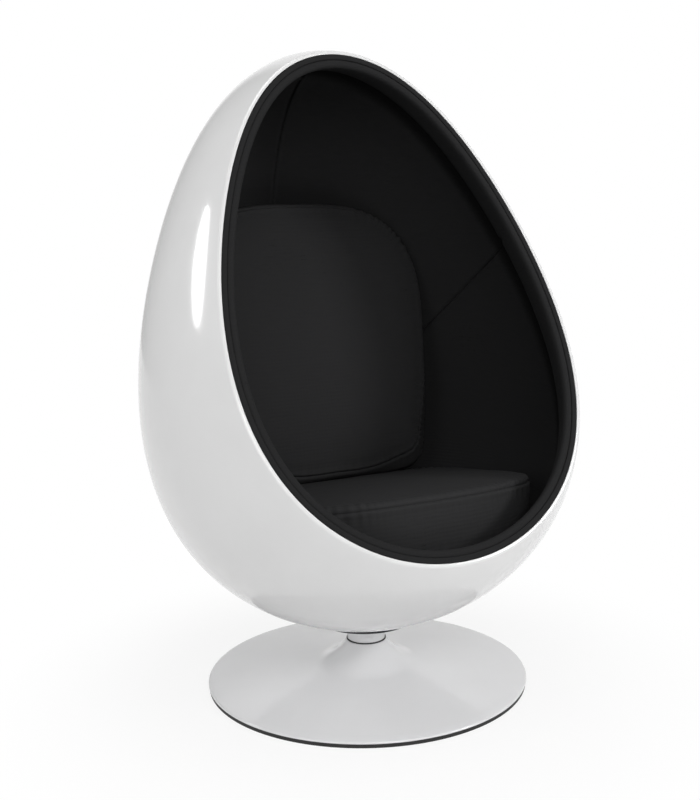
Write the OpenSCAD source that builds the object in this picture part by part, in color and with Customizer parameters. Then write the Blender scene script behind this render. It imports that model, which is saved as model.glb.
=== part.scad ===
// Egg-shaped lounge chair: a leaning shell cut open by one plane, lined and cushioned inside,
// turning on a caged ball bearing over a trumpet-shaped base.
// Z is up, the floor is z = 0 and the Z axis is the swivel axis. The chair faces -Y.
// All lengths are in millimetres and all angles in degrees.

/* [Shell] */
// Widest diameter of the egg
shell_d = 860; // [760:10:960]
// Length of the egg along its own axis
shell_l = 1160; // [1060:10:1260]
// Wall of the shell
shell_wall = 6; // [4:0.5:8]
// Lean of the egg's axis, back from upright
shell_lean = 15.5; // [11:0.5:20]
// Height of the shell's lowest point above the floor
shell_clear = 121.5; // [116:0.5:140]
// Distance of that point behind the swivel axis
low_back = 9.8; // [0:0.2:12]
// Angle between the plane of the opening and the egg's axis
opening_angle = 10; // [6:0.5:14]
// Distance from the egg's axis forward to the opening, at half the egg's length
opening_reach = 223; // [200:1:250]
// How the egg departs from an ellipse: shares of its half-length to the first, second and third power
egg_shares = [-0.24, 0.06, 0.07];

/* [Lining and rim] */
// Thickness of the padded lining
lining_t = 16; // [10:1:22]
// Radius of the curved seam between the hood and the side panels
seam_r = 704; // [660:2:760]
// Distance from the egg's axis forward to the centre of the seam's curve
seam_reach = 160; // [140:2:180]
// Height of the centre of the seam's curve, along the egg's axis
seam_rise = 35; // [20:1:50]
// Thickness of the padded roll behind the opening
roll_t = 28; // [22:1:34]
// Depth of the padded roll behind the opening
roll_depth = 97; // [80:1:110]
// Thickness of the edge welt
welt_t = 9; // [6:0.5:12]
// Depth of the edge welt
welt_depth = 14; // [10:1:18]
// Gap left for adhesive, and between sewn panels
glue_gap = 0.3; // [0.2:0.1:0.5]

/* [Cushions] */
// Height of the moulded foam base's top at the swivel axis
seat_base_h = 278; // [262:1:295]
// Slope of the seat, down towards the back
seat_slope = 8; // [5:0.5:10]
// Width of the seat cushion
seat_w = 588; // [540:2:610]
// Depth of the seat cushion from front to back
seat_depth = 500; // [460:2:520]
// Distance from the swivel axis forward to the middle of the seat cushion
seat_reach = 54; // [40:1:60]
// Thickness of the seat cushion at its seams
seat_t = 122; // [100:1:130]
// Extra thickness of the seat cushion at its crown
seat_crown = 4; // [2:1:14]
// Width of the back cushion at its top, where the lining lets it be so wide
back_w = 630; // [560:2:660]
// Height of the back cushion along its lean
back_h = 612; // [560:2:620]
// Thickness of the back cushion at its seams
back_t = 92; // [80:1:105]
// Extra thickness of the back cushion at the crown of its front
back_crown = 26; // [14:1:32]
// Lean of the back cushion, back from upright
back_lean = 16.5; // [12:0.5:20]
// Distance from the swivel axis back to the foot of the back cushion's front
back_foot = 114; // [100:1:140]
// Gap between a cushion and what is beside it
cushion_gap = 0.8; // [0.5:0.1:1.5]

/* [Base] */
// Diameter of the base disc
base_d = 650; // [600:5:700]
// Height of the rubber floor ring
ring_h = 8; // [6:0.5:10]
// Height of the base disc's edge above the floor
rim_h = 12; // [11:0.5:15]
// Radius on the edge of the base disc
rim_round = 3.4; // [3.2:0.1:3.8]
// Sheet thickness of the trumpet cover
cover_t = 3; // [2:0.1:3]
// Slope of the disc between its edge and the flare
cone_angle = 6.5; // [5.5:0.25:7.5]
// Radius of the flare up to the neck
flare_r = 90; // [84:1:100]
// Diameter of the neck at its top
neck_d = 82; // [80:1:90]
// Height of the top of the neck
neck_h = 83; // [80:0.5:86]
// Thickness of the steel floor plate
plate_t = 6; // [4:0.5:6]
// Height of the floor plate's underside above the floor
plate_lift = 3; // [2:0.5:3]

/* [Column and swivel] */
// Outer diameter of the column
column_d = 56; // [54:0.5:58]
// Bore of the column
column_bore = 36; // [34:0.5:38]
// Diameter of the column's foot flange
flange_d = 128; // [120:1:140]
// Thickness of the foot flange
flange_t = 6; // [5:0.5:8]
// Diameter of the bolt circle in the foot flange
flange_pcd = 96; // [90:1:100]
// Diameter of the spindle
spindle_d = 25; // [22:0.5:26]
// Running clearance round the spindle, on the radius
run_gap = 0.05; // [0.03:0.01:0.08]
// Fitting clearance of bolts and pressed pieces, on the radius
fit_gap = 0.05; // [0.02:0.01:0.1]
// Diameter of the bearing balls
ball_d = 6; // [5:0.5:6.5]
// Number of bearing balls
ball_count = 12; // [8:1:14]
// Diameter of the circle of balls
ball_pcd = 42; // [41:0.5:43]
// Thickness of each bearing race
race_t = 3; // [2.5:0.25:3.5]
// Outer diameter of the swivel hub
hub_d = 77; // [75:0.5:79]
// Length of each spindle bush
bush_l = 18; // [12:1:20]
// Shank diameter of all bolts
bolt_d = 8; // [6:0.5:8]

/* [Shell mounting] */
// Height of the mounting block's top above the shell's underside
block_h = 28.5; // [26:0.5:34]
// Diameter of the mounting block
block_d = 200; // [160:2:200]
// Diameter of the clamp plate
clamp_d = 150; // [130:2:156]
// Thickness of the clamp plate
clamp_t = 6; // [5:0.5:8]
// Diameter of the circle of hub bolts
hub_pcd = 52; // [50:0.5:54]

/* [Hidden] */

$fn = 128;
// How far a cutting tool runs past what it cuts
overrun = 2;
// Degrees between the points of the egg's outline
egg_step = 2.5;
// Turns of halving when a distance to the egg is searched
halvings = 14;

// Shell
egg_peak = max([for (t = [0:0.5:180]) egg_raw(t)]);
low_t = low_angle(0, 90, halvings * 2);
low_point = [egg_r(low_t), egg_z(low_t)];
tip_y = low_back - low_point[0] * cos(shell_lean) - low_point[1] * sin(shell_lean);
tip_z = shell_clear + low_point[0] * sin(shell_lean) - low_point[1] * cos(shell_lean);
opening_point = [0, -opening_reach, shell_l / 2];
opening_in = [0, cos(opening_angle), -sin(opening_angle)];
opening_up = [0, sin(opening_angle), cos(opening_angle)];
space = shell_l + shell_d;

// Lining and rim
lining_out = shell_wall + glue_gap;
lining_in = lining_out + lining_t;
roll_in = lining_out + roll_t;
roll_foot = lining_out + welt_t + glue_gap;
roll_steps = 88;
// Outline of the roll: share of its depth, then share of its thickness inward of the welt
roll_shares = [[0.02, 0], [0, 0.16], [0.012, 0.44], [0.06, 0.63], [0.2, 0.77], [0.45, 0.93],
    [0.72, 1], [0.85, 1], [0.935, 0.83], [0.985, 0.46], [1, 0.1]];
// Outline of the welt: share of its depth, then share of its thickness
welt_shares = [[0.12, 0], [0, 0.25], [0, 0.75], [0.12, 1], [1, 1], [1, 0]];

// Cushions
seat_steps = 56;
back_steps = 56;
// Squareness of each cushion's plan, 2 for an ellipse and more for a squarer one: for its far half, for its
// near half, and for the near half of its face
seat_powers = [4, 2.8, 2.8];
back_powers = [2.8, 8, 3.2];
// Width of the back cushion at its foot, as a share of its width at the top
back_foot_share = 0.76;
// How far the sides of a cushion draw in between its corners
draw_share = 0.012;
// Seat cushion from its underside to its crown: share of its plan, then height as shares of the
// thickness at the seams and of the crown
seat_shares = [[0.3, 0, 0], [0.55, 0, 0], [0.7, 0.04, 0], [0.8, 0.14, 0], [0.88, 0.28, 0],
    [0.94, 0.44, 0], [0.98, 0.62, 0], [1, 0.8, 0], [1, 0.9, 0], [0.985, 0.985, 0],
    [0.955, 1, 0.22], [0.88, 1, 0.5], [0.74, 1, 0.75], [0.55, 1, 0.9], [0.3, 1, 0.98]];
// Back cushion from the crown of its back to the crown of its front, in the same way
back_shares = [[0.35, -0.16, 0], [0.62, -0.12, 0], [0.82, -0.06, 0], [0.93, 0, 0],
    [0.975, 0.05, 0], [1, 0.2, 0], [1.008, 0.5, 0], [1.004, 0.8, 0], [0.985, 0.96, 0],
    [0.955, 1, 0.2], [0.88, 1, 0.5], [0.74, 1, 0.76], [0.55, 1, 0.91], [0.3, 1, 0.98]];
seat_front = [0, -cos(seat_slope), sin(seat_slope)];
seat_up = [0, sin(seat_slope), cos(seat_slope)];
seat_centre = [0, 0, seat_base_h] + seat_front * seat_reach + seat_up * cushion_gap;
seat_top_h = cushion_gap + seat_t + seat_crown;
back_up = [0, sin(back_lean), cos(back_lean)];
back_front = [0, -cos(back_lean), sin(back_lean)];
back_foot_z = seat_base_h + seat_top_h / cos(seat_slope) - back_foot * tan(seat_slope);
back_centre = [0, back_foot, back_foot_z] + back_up * back_h / 2 - back_front * back_t;

// Base
base_r = base_d / 2;
cone_tan = tan(cone_angle);
cone_r = base_r - rim_round;
flare_drop = rim_h + cone_r * cone_tan + flare_r / cos(cone_angle) - neck_h;
flare_half = neck_d / 2 + flare_drop * cone_tan;
flare_x = (flare_half + sqrt(flare_half ^ 2 - (1 + cone_tan ^ 2)
    * ((neck_d / 2) ^ 2 + flare_drop ^ 2 - flare_r ^ 2))) / (1 + cone_tan ^ 2);
flare_z = neck_h + flare_drop - cone_tan * flare_x;
flare_start = atan2(neck_h - flare_z, neck_d / 2 - flare_x);
ring_inset = 1.5;
ring_ledge = 10;
plate_r = base_r - 9;
plate_edge_gap = 0.3;
plate_top = plate_lift + plate_t;
centre_hole_d = 30;

// Column and swivel
column_rise = 3;
column_top = neck_h + column_rise;
column_bolt_head = 5.3;
bolt_head_d = bolt_d * 1.625;
column_bolt_sink = plate_t;
seal_show = 1.7;
seal_proud = 0.5;
seal_plug = 4;
seal_gap = 0.3;
hub_bottom = neck_h + seal_show + seal_gap;
ball_gap = 0.2;
groove_depth = 1;
race_in_d = 30;
race_out_d = column_d;
lower_race_top = column_top + race_t;
ball_z = lower_race_top - groove_depth + ball_gap + ball_d / 2;
upper_race_bottom = ball_z + (ball_z - lower_race_top);
hub_seat = upper_race_bottom + race_t;
cage_t = 2.4;
cage_margin = 1.5;
skirt_wall = 7;
hub_socket_l = race_t + 0.4 * groove_depth;
bush_out_d = column_bore - 2 * fit_gap;
bush_in_d = spindle_d + 2 * run_gap;
lower_bush_z = plate_top + flange_t + 14;
upper_bush_z = column_top - bush_l;
washer_t = 2;
spindle_foot = 8;
clip_t = 1.5;
clip_groove = 1.2;
clip_reach = 3;
clip_mouth = 12;
clip_gap = 0.1;
spindle_head_d = 36;
spindle_head_t = 5;
spindle_head_gap = 0.6;

// Shell mounting
block_top = shell_clear + block_h;
clamp_top = block_top + clamp_t;
bolt_washer_d = bolt_d * 2;
bolt_washer_t = 1.6;
hub_bolt_head = 5.3;
hub_thread_l = 17;
hub_thread_spare = 2;
shell_hole_gap = 0.5;
pocket_gap = 3;

// Radius of the egg as a share of its widest, at angle t round its outline from the lower tip
function egg_raw(t) = let (u = -cos(t))
    sin(t) * (1 + egg_shares[0] * u + egg_shares[1] * u ^ 2 + egg_shares[2] * u ^ 3);
function egg_r(t) = shell_d / 2 * egg_raw(t) / egg_peak;
function egg_z(t) = shell_l * (1 - cos(t)) / 2;
// Direction of the outline at angle t
function egg_way(t, dt = 0.01) = let (way = [egg_r(t + dt) - egg_r(t - dt), egg_z(t + dt) - egg_z(t - dt)])
    way / norm(way);
// Point of the outline at angle t, moved inward by a distance
function egg_point(t, inset = 0) = let (way = egg_way(t))
    [max(0, egg_r(t) - inset * way[1]), egg_z(t) + inset * way[0]];
// Angle of the outline's point that lies lowest when the egg leans
function low_angle(a, b, turns) = let (t = (a + b) / 2, way = egg_way(t))
    turns == 0 ? t
    : way[1] * cos(shell_lean) < way[0] * sin(shell_lean) ? low_angle(t, b, turns - 1)
    : low_angle(a, t, turns - 1);
// Height and radius pairs of the inset outline, for lookup
function egg_table(inset) = [for (t = [0:egg_step:180]) let (p = egg_point(t, inset)) [p[1], p[0]]];

// A point of the standing chair in the egg's own frame
function to_shell(p) = let (y = p[1] - tip_y, z = p[2] - tip_z)
    [p[0], y * cos(shell_lean) - z * sin(shell_lean), y * sin(shell_lean) + z * cos(shell_lean)];
function opening_depth(p) = (p - opening_point) * opening_in;
function in_egg(p, table) = norm([p[0], p[1]]) < lookup(p[2], table);

// Distance from a point to the inset egg along a direction, in the egg's own frame
function egg_reach(from, way, table, a, b, turns) = let (m = (a + b) / 2)
    turns == 0 ? a
    : in_egg(from + way * m, table) ? egg_reach(from, way, table, m, b, turns - 1)
    : egg_reach(from, way, table, a, m, turns - 1);

// One closed ring of points per section point, swept round the opening
function rim_rings(section) = [for (s = section)
    let (table = egg_table(s[1]), centre = opening_point + opening_in * s[0])
        [for (k = [0:roll_steps - 1])
            let (a = 360 * k / roll_steps, way = [cos(a), 0, 0] + opening_up * sin(a))
                centre + way * egg_reach(centre, way, table, 0, space, halvings + 4)]];

cushion_table = egg_table(lining_in + cushion_gap);
roll_table = egg_table(roll_in + cushion_gap);
// Is a point of the standing chair clear of the lining, the roll and, for the back, the seat
function is_clear(p, floor_h) = let (q = to_shell(p))
    in_egg(q, cushion_table)
    && (opening_depth(q) > roll_depth + cushion_gap || in_egg(q, roll_table))
    && (p - [0, 0, seat_base_h]) * seat_up > floor_h;
function clear_reach(from, way, floor_h, a, b, turns) = let (m = (a + b) / 2)
    turns == 0 ? a
    : is_clear(from + way * m, floor_h) ? clear_reach(from, way, floor_h, m, b, turns - 1)
    : clear_reach(from, way, floor_h, a, m, turns - 1);

// Distance from the middle of a cushion's plan to its edge, at angle a, for a rounded rectangle
function plan_reach(a, half_w, half_l, power) =
    (1 - draw_share * cos(2 * a) ^ 2)
    / (abs(cos(a) / half_w) ^ power + abs(sin(a) / half_l) ^ power) ^ (1 / power);

// Rings of a cushion: centre of its plan, its plan's up direction, its crown's direction, and powers, the
// squareness of the plan's upper half, of its lower half, and of the lower half where the face begins
function cushion_rings(centre, up, out, half_w, half_l, powers, shares, t, crown, steps, floor_h, foot) =
    [for (s = shares)
        let (middle = centre + out * (s[1] * t + s[2] * crown))
            [for (k = [0:steps - 1])
                let (a = 360 * k / steps,
                    wide = half_w * (1 - (1 - foot) * (1 - sin(a)) / 2),
                    way = [cos(a), 0, 0] + up * sin(a),
                    low = powers[1] + (powers[2] - powers[1]) * max(0, s[1]) ^ 2,
                    power = powers[0] + (low - powers[0]) * sqrt(max(0, -sin(a))),
                    reach = plan_reach(a, wide, half_l, power))
                    middle + way * min(s[0] * reach, min(1, s[0])
                        * clear_reach(middle, way, floor_h, 0, reach * 1.1, halvings))]];

// Closed solid from rings of equal count, each end closed by a fan to the mean of its ring
module ring_solid(rings, first, last) {
    n = len(rings[0]);
    m = len(rings);
    points = concat([first], [for (ring = rings) each ring], [last]);
    ends = len(points) - 1;
    faces = concat(
        [for (k = [0:n - 1]) [0, 1 + (k + 1) % n, 1 + k]],
        [for (j = [0:m - 2], k = [0:n - 1], half = [0, 1])
            let (a = 1 + j * n + k, b = 1 + j * n + (k + 1) % n)
                half == 0 ? [a, b, b + n] : [a, b + n, a + n]],
        [for (k = [0:n - 1]) [ends, 1 + (m - 1) * n + k, 1 + (m - 1) * n + (k + 1) % n]]);
    polyhedron(points, faces);
}

// Closed hoop from rings of equal count, the last joined to the first
module ring_hoop(rings) {
    n = len(rings[0]);
    m = len(rings);
    points = [for (ring = rings) each ring];
    faces = [for (j = [0:m - 1], k = [0:n - 1], half = [0, 1])
        let (a = j * n + k, b = j * n + (k + 1) % n,
            c = ((j + 1) % m) * n + (k + 1) % n, d = ((j + 1) % m) * n + k)
            half == 0 ? [a, c, b] : [a, d, c]];
    polyhedron(points, faces);
}

module in_shell() {
    translate([0, tip_y, tip_z]) rotate([-shell_lean, 0, 0]) children();
}

module egg(inset = 0) {
    rotate_extrude() polygon([for (t = [0:egg_step:180]) egg_point(t, inset)]);
}

// Everything that lies deeper than a depth behind the opening, in the egg's own frame
module behind_opening(depth) {
    translate(opening_point) rotate([-opening_angle, 0, 0])
        translate([-space, depth, -space]) cube(2 * space);
}

// Everything above or below the top of the seat base, in the chair's frame
module over_seat_base(h) {
    translate([0, 0, seat_base_h]) rotate([-seat_slope, 0, 0])
        translate([-space, -space, h]) cube(2 * space);
}
module under_seat_base() {
    translate([0, 0, seat_base_h]) rotate([-seat_slope, 0, 0])
        translate([-space, -space, -2 * space]) cube(2 * space);
}

module tube(outer_d, inner_d, h) {
    difference() {
        cylinder(d = outer_d, h = h);
        translate([0, 0, -overrun]) cylinder(d = inner_d, h = h + 2 * overrun);
    }
}

module four_on(pcd) {
    for (k = [0:3]) rotate([0, 0, 45 + 90 * k]) translate([pcd / 2, 0, 0]) children();
}

// Groove that the balls run in
module ball_groove() {
    translate([0, 0, ball_z]) rotate_extrude()
        translate([ball_pcd / 2, 0]) circle(d = ball_d + 2 * ball_gap);
}

// Hexagon bolt, its head standing on z = 0 and its shank reaching down
module bolt(head_h, shank_l) {
    cylinder(d = bolt_head_d / cos(30), h = head_h, $fn = 6);
    translate([0, 0, -shank_l]) cylinder(d = bolt_d, h = shank_l + head_h / 2);
}

module floor_ring() {
    outer = base_r - ring_inset;
    seat = plate_r + plate_edge_gap;
    color([0.03, 0.03, 0.03]) rotate_extrude()
        polygon([[plate_r - ring_ledge, 0], [outer, 0], [outer, ring_h], [seat, ring_h],
            [seat, plate_lift], [plate_r - ring_ledge, plate_lift]]);
}

module floor_plate() {
    color([0.3, 0.31, 0.32]) translate([0, 0, plate_lift]) difference() {
        cylinder(r = plate_r, h = plate_t);
        translate([0, 0, -overrun]) cylinder(d = centre_hole_d, h = plate_t + 2 * overrun);
        translate([0, 0, -overrun]) four_on(flange_pcd)
            cylinder(d = bolt_d + 2 * fit_gap, h = plate_t + 2 * overrun);
    }
}

// Outline of the trumpet, from the edge at the floor ring up to the neck, moved inward by t
function trumpet(t) = concat(
    [for (a = [0:15:90 - cone_angle])
        [cone_r + (rim_round - t) * cos(a), rim_h - rim_round + (rim_round - t) * sin(a)]],
    [for (k = [0:12]) let (a = 270 - cone_angle + (360 + flare_start - 270 + cone_angle) % 360 * k / 12)
        [flare_x + (flare_r + t) * cos(a), flare_z + (flare_r + t) * sin(a)]]);

module base_cover() {
    outer = trumpet(0);
    inner = trumpet(cover_t);
    color([0.9, 0.9, 0.91]) rotate_extrude()
        polygon(concat([[base_r, ring_h]], outer, [for (k = [len(inner) - 1:-1:0]) inner[k]],
            [[base_r - cover_t, ring_h]]));
}

module column() {
    color([0.2, 0.2, 0.21]) translate([0, 0, plate_top]) difference() {
        union() {
            cylinder(d = column_d, h = column_top - plate_top);
            cylinder(d = flange_d, h = flange_t);
        }
        translate([0, 0, -overrun]) cylinder(d = column_bore, h = column_top);
        translate([0, 0, -overrun]) four_on(flange_pcd)
            cylinder(d = bolt_d + 2 * fit_gap, h = flange_t + 2 * overrun);
    }
}

module column_bolts() {
    color([0.6, 0.6, 0.62]) translate([0, 0, plate_top + flange_t]) four_on(flange_pcd)
        bolt(column_bolt_head, flange_t + column_bolt_sink);
}

module lower_bush() {
    color([0.85, 0.85, 0.8]) translate([0, 0, lower_bush_z]) tube(bush_out_d, bush_in_d, bush_l);
}

module upper_bush() {
    color([0.85, 0.85, 0.8]) translate([0, 0, upper_bush_z]) tube(bush_out_d, bush_in_d, bush_l);
}

module seal_ring() {
    plug_r = neck_d / 2 - cover_t * 2;
    hole_r = column_d / 2 + fit_gap;
    color([0.02, 0.02, 0.02]) rotate_extrude()
        polygon([[hole_r, neck_h - seal_plug], [plug_r - seal_plug / 2, neck_h - seal_plug],
            [plug_r, neck_h], [neck_d / 2 - seal_proud, neck_h],
            [neck_d / 2 - seal_proud, neck_h + seal_show], [hole_r, neck_h + seal_show]]);
}

module lower_race() {
    color([0.7, 0.7, 0.72]) difference() {
        translate([0, 0, column_top]) tube(race_out_d, race_in_d, race_t);
        ball_groove();
    }
}

module ball_cage() {
    color([0.75, 0.6, 0.3]) difference() {
        translate([0, 0, ball_z - cage_t / 2])
            tube(race_out_d - 2 * cage_margin, race_in_d + 2 * cage_margin, cage_t);
        for (k = [0:ball_count - 1]) rotate([0, 0, 360 * k / ball_count])
            translate([ball_pcd / 2, 0, ball_z - cage_t])
                cylinder(d = ball_d + 2 * ball_gap, h = 2 * cage_t);
    }
}

module bearing_balls() {
    color([0.85, 0.85, 0.87]) for (k = [0:ball_count - 1]) rotate([0, 0, 360 * k / ball_count])
        translate([ball_pcd / 2, 0, ball_z]) sphere(d = ball_d, $fn = 32);
}

module upper_race() {
    color([0.7, 0.7, 0.72]) difference() {
        translate([0, 0, upper_race_bottom]) tube(race_out_d, race_in_d, race_t);
        ball_groove();
    }
}

module spindle() {
    top = shell_clear - spindle_head_gap;
    foot = lower_bush_z - spindle_foot;
    clip_z = lower_bush_z - washer_t - clip_t - clip_gap;
    color([0.72, 0.72, 0.74]) difference() {
        union() {
            translate([0, 0, foot]) cylinder(d = spindle_d, h = top - foot);
            translate([0, 0, top - spindle_head_t]) cylinder(d = spindle_head_d, h = spindle_head_t);
        }
        translate([0, 0, clip_z - clip_gap]) tube(spindle_d + 2 * overrun,
            spindle_d - 2 * clip_groove, clip_t + 2 * clip_gap);
    }
}

module thrust_washer() {
    color([0.7, 0.7, 0.72]) translate([0, 0, lower_bush_z - washer_t - clip_gap / 2])
        tube(bush_out_d - 2 * clip_reach, bush_in_d, washer_t);
}

module retaining_ring() {
    color([0.25, 0.25, 0.26]) translate([0, 0, lower_bush_z - washer_t - clip_t - clip_gap])
        difference() {
            tube(spindle_d + 2 * clip_reach, spindle_d - 2 * (clip_groove - clip_gap), clip_t);
            translate([-clip_mouth / 2, -spindle_d, -overrun])
                cube([clip_mouth, spindle_d, clip_t + 2 * overrun]);
        }
}

module swivel_hub() {
    head_seat = shell_clear - spindle_head_gap - spindle_head_t - fit_gap;
    socket = hub_seat - hub_socket_l;
    color([0.9, 0.9, 0.91]) difference() {
        translate([0, 0, hub_bottom]) cylinder(d = hub_d, h = shell_clear + block_h - hub_bottom);
        in_shell() egg(-glue_gap);
        translate([0, 0, hub_bottom - overrun])
            cylinder(d = hub_d - 2 * skirt_wall, h = socket - hub_bottom + overrun);
        translate([0, 0, socket - overrun])
            cylinder(d = race_out_d + 2 * fit_gap, h = hub_seat - socket + overrun);
        cylinder(d = spindle_d + 2 * fit_gap, h = shell_clear);
        translate([0, 0, head_seat]) cylinder(d = spindle_head_d + 2 * fit_gap, h = block_h);
        translate([0, 0, shell_clear - hub_thread_l - hub_thread_spare]) four_on(hub_pcd)
            cylinder(d = bolt_d + 2 * fit_gap, h = block_h);
    }
}

module shell() {
    color([0.93, 0.93, 0.93]) difference() {
        in_shell() intersection() {
            difference() {
                egg();
                egg(shell_wall);
            }
            behind_opening(0);
        }
        four_on(hub_pcd) cylinder(d = bolt_d + 2 * shell_hole_gap, h = block_top);
    }
}

module mounting_block() {
    color([0.72, 0.56, 0.38]) difference() {
        intersection() {
            translate([0, 0, shell_clear]) cylinder(d = block_d, h = block_h);
            in_shell() egg(shell_wall + glue_gap);
        }
        four_on(hub_pcd) cylinder(d = bolt_d + 2 * shell_hole_gap, h = block_top + overrun);
    }
}

module clamp_plate() {
    color([0.55, 0.56, 0.58]) translate([0, 0, block_top]) difference() {
        cylinder(d = clamp_d, h = clamp_t);
        translate([0, 0, -overrun]) four_on(hub_pcd)
            cylinder(d = bolt_d + 2 * shell_hole_gap, h = clamp_t + 2 * overrun);
    }
}

module bolt_washers() {
    color([0.7, 0.7, 0.72]) translate([0, 0, clamp_top]) four_on(hub_pcd)
        tube(bolt_washer_d, bolt_d + 2 * fit_gap, bolt_washer_t);
}

module hub_bolts() {
    head_z = clamp_top + bolt_washer_t;
    color([0.6, 0.6, 0.62]) translate([0, 0, head_z]) four_on(hub_pcd)
        bolt(hub_bolt_head, head_z - shell_clear + hub_thread_l);
}

module seat_base() {
    pocket_top = clamp_top + bolt_washer_t + hub_bolt_head + pocket_gap;
    color([0.12, 0.12, 0.13]) difference() {
        intersection() {
            in_shell() intersection() {
                egg(lining_out);
                behind_opening(roll_depth + glue_gap);
            }
            under_seat_base();
        }
        cylinder(d = block_d + 2 * pocket_gap, h = pocket_top);
    }
}

// Padding between the shell and the cavity, above the seat base and behind the roll
module lining() {
    intersection() {
        in_shell() intersection() {
            difference() {
                egg(lining_out);
                egg(lining_in);
            }
            behind_opening(roll_depth + glue_gap);
        }
        over_seat_base(glue_gap);
    }
}

// Solid bounded above by the curved seam, widened by a gap
module below_seam(gap) {
    in_shell() translate([-space / 2, -seam_reach, seam_rise]) rotate([0, 90, 0])
        cylinder(r = seam_r + gap, h = space);
}

module lining_hood() {
    color([0.06, 0.06, 0.065]) difference() {
        lining();
        below_seam(glue_gap);
    }
}

module lining_side() {
    intersection() {
        lining();
        below_seam(0);
        translate([glue_gap / 2, -space / 2, 0]) cube(space);
    }
}

module lining_right() {
    color([0.07, 0.07, 0.075]) lining_side();
}

module lining_left() {
    color([0.07, 0.07, 0.075]) mirror([1, 0, 0]) lining_side();
}

module rim_roll() {
    back = roll_depth;
    front = welt_depth + glue_gap;
    face = [for (s = roll_shares) [s[0] * back, roll_foot + s[1] * (roll_in - roll_foot)]];
    section = concat(face, [[back, lining_out], [front, lining_out], [front, roll_foot]]);
    color([0.08, 0.08, 0.085]) in_shell() ring_hoop(rim_rings(section));
}

module rim_welt() {
    section = [for (s = welt_shares) [s[0] * welt_depth, lining_out + s[1] * welt_t]];
    color([0.09, 0.09, 0.095]) in_shell() ring_hoop(rim_rings(section));
}

module seat_cushion() {
    color([0.1, 0.1, 0.105]) ring_solid(
        cushion_rings(seat_centre, -seat_front, seat_up, seat_w / 2, seat_depth / 2,
            seat_powers, seat_shares, seat_t, seat_crown, seat_steps, 0, 1),
        seat_centre, seat_centre + seat_up * (seat_t + seat_crown));
}

module back_cushion() {
    color([0.1, 0.1, 0.105]) ring_solid(
        cushion_rings(back_centre, back_up, back_front, back_w / 2, back_h / 2,
            back_powers, back_shares, back_t, back_crown, back_steps,
            seat_top_h + cushion_gap, back_foot_share),
        back_centre + back_front * back_t * back_shares[0][1],
        back_centre + back_front * (back_t + back_crown));
}

floor_ring();
floor_plate();
base_cover();
column();
column_bolts();
lower_bush();
upper_bush();
seal_ring();
lower_race();
ball_cage();
bearing_balls();
upper_race();
spindle();
thrust_washer();
retaining_ring();
swivel_hub();
shell();
mounting_block();
clamp_plate();
hub_bolts();
bolt_washers();
seat_base();
lining_hood();
lining_left();
lining_right();
rim_roll();
rim_welt();
seat_cushion();
back_cushion();
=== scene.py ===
"""Looks of the pod chair: smooth shell, upholstery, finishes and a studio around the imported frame.

Lengths are in metres, in the frame's own axes: the chair faces -Y, Z is up, and the origin is on the
floor at the swivel axis.
"""

from math import cos, pi, radians, sin, tan

import bmesh
import bpy
import numpy as np
from mathutils import Matrix, Quaternion, Vector
from mathutils.kdtree import KDTree


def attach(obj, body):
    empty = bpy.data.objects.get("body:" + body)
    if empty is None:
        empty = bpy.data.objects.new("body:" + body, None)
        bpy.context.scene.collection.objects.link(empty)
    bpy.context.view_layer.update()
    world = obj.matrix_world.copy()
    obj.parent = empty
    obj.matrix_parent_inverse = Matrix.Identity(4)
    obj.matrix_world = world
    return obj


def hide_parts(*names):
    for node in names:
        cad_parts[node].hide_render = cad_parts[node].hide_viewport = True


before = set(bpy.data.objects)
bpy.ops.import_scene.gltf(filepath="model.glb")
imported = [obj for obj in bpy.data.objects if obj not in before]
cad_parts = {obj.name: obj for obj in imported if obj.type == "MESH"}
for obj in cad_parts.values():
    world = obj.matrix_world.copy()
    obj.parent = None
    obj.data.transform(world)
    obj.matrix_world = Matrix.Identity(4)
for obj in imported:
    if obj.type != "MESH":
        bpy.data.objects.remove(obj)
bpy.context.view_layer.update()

# Camera, solved from the outlines in the 700 x 800 photograph
CAMERA_POSITION = Vector((-1.0139, -1.9045, 0.9119))
CAMERA_FORWARD = Vector((0.45582, 0.87676, -0.15334))
CAMERA_ROLL = radians(-1.44)
CAMERA_LENS = 49.41

# Shell and opening
SHELL_D = 0.86
SHELL_L = 1.16
SHELL_WALL = 0.006
SHELL_LEAN = radians(15.5)
SHELL_CLEAR = 0.1215
LOW_BACK = 0.0098
OPENING_ANGLE = radians(10)
OPENING_REACH = 0.223
EGG_SHARES = (-0.24, 0.06, 0.07)
EDGE_ROUND = 0.0022

# Lining and rim
GLUE_GAP = 0.0003
LINING_T = 0.016
SEAM_R = 0.704
SEAM_REACH = 0.16
SEAM_RISE = 0.035
FLOOR_GAP = 0.001
# Depth and half width of the seams' grooves, of the puckers beside them, of the groove between the two
# side panels, of the crease in front and of the turned-in lower edge
SEAM_GROOVE = (0.0042, 0.0022)
PUCKERS = (0.0022, 0.011)
BACK_GROOVE = (0.0045, 0.005)
TUCK = (0.011, 0.026)
LOWER_EDGE = (0.003, 0.007)
ROLL_T = 0.028
ROLL_DEPTH = 0.097
ROLL_CROWN = 1.195
WELT_T = 0.009
WELT_DEPTH = 0.014

# Cushions
SEAT_BASE_H = 0.278
SEAT_SLOPE = radians(8)
SEAT_W = 0.588
SEAT_DEPTH = 0.5
SEAT_REACH = 0.054
SEAT_T = 0.122
SEAT_CROWN = 0.004
BACK_W = 0.63
BACK_H = 0.612
BACK_T = 0.092
BACK_CROWN = 0.026
BACK_LEAN = radians(16.5)
BACK_FOOT = 0.114
CUSHION_GAP = 0.0012
POCKET_D = 0.204
POCKET_TOP = 0.172
FOAM_LOW = 0.128

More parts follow.
